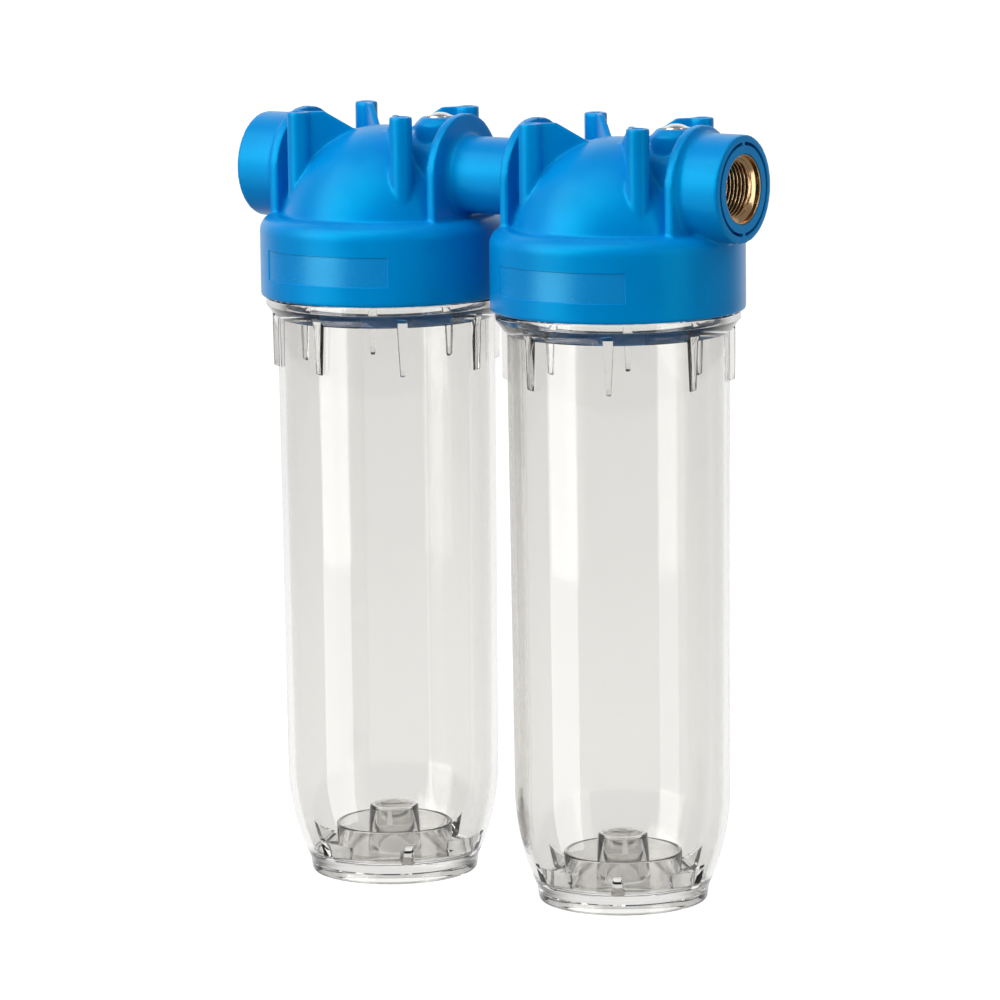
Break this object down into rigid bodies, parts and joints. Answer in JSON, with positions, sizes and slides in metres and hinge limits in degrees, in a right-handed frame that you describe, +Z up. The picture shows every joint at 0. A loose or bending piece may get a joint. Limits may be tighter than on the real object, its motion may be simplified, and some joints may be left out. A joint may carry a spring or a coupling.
{
  "type": "cartridge filter housing",
  "caption": "In-line water filter housing: domed blue heads joined by a pipe, clear screw-on bowls, threaded brass ports and push-button air vents.",
  "frame": {"origin": "on the floor, midway between the two bowls", "axes": "+Z up, +X along the flow line from the inlet port to the outlet port, -Y towards the blank label panels"},
  "size_m": [0.2516, 0.113, 0.3492],
  "materials": {
    "head_plastic": "moulded polypropylene, fine grain",
    "bowl_plastic": "clear SAN moulding, polished",
    "insert_brass": "machined",
    "vent_chrome": "polished",
    "vent_nickel": "nickel plated brass",
    "spring_steel": "stainless",
    "seal_rubber": "nitrile rubber"
  },
  "bodies": {
    "heads": {"left_head": "head_plastic", "right_head": "head_plastic", "connecting_nipple": "insert_brass", "connecting_oring": "seal_rubber", "inlet_insert": "insert_brass", "outlet_insert": "insert_brass", "left_vent_bush": "vent_nickel", "left_vent_spring": "spring_steel", "right_vent_bush": "vent_nickel", "right_vent_spring": "spring_steel"},
    "left_seal": {"left_bowl_oring": "seal_rubber"},
    "left_bowl_body": {"left_bowl": "bowl_plastic"},
    "left_vent": {"left_vent_button": "vent_chrome", "left_vent_clip": "spring_steel", "left_vent_oring": "seal_rubber"},
    "right_seal": {"right_bowl_oring": "seal_rubber"},
    "right_bowl_body": {"right_bowl": "bowl_plastic"},
    "right_vent": {"right_vent_button": "vent_chrome", "right_vent_clip": "spring_steel", "right_vent_oring": "seal_rubber"}
  },
  "joints": [
    {"name": "left_bowl_drop", "type": "slide", "parent": "heads", "child": "left_seal", "axis": [0, 0, -1], "range_m": [0, 0.018]},
    {"name": "left_bowl_turn", "type": "hinge", "parent": "left_seal", "child": "left_bowl_body", "pos_m": [-0.0614, 0, 0.281], "axis": [0, 0, -1], "range_deg": [0, 1080]},
    {"name": "left_vent_press", "type": "slide", "parent": "heads", "child": "left_vent", "axis": [0, 0, -1], "range_m": [0, 0.002], "stiffness_N_per_m": 900, "springref_m": -0.001, "deforming": ["left_vent_spring"]},
    {"name": "right_bowl_drop", "type": "slide", "parent": "heads", "child": "right_seal", "axis": [0, 0, -1], "range_m": [0, 0.018]},
    {"name": "right_bowl_turn", "type": "hinge", "parent": "right_seal", "child": "right_bowl_body", "pos_m": [0.0614, 0, 0.281], "axis": [0, 0, -1], "range_deg": [0, 1080]},
    {"name": "right_vent_press", "type": "slide", "parent": "heads", "child": "right_vent", "axis": [0, 0, -1], "range_m": [0, 0.002], "stiffness_N_per_m": 900, "springref_m": -0.001, "deforming": ["right_vent_spring"]}
  ],
  "couplings": [
    {"joint": "left_bowl_drop", "follows": "left_bowl_turn", "m_per_rad": 0.00095493},
    {"joint": "right_bowl_drop", "follows": "right_bowl_turn", "m_per_rad": 0.00095493}
  ]
}
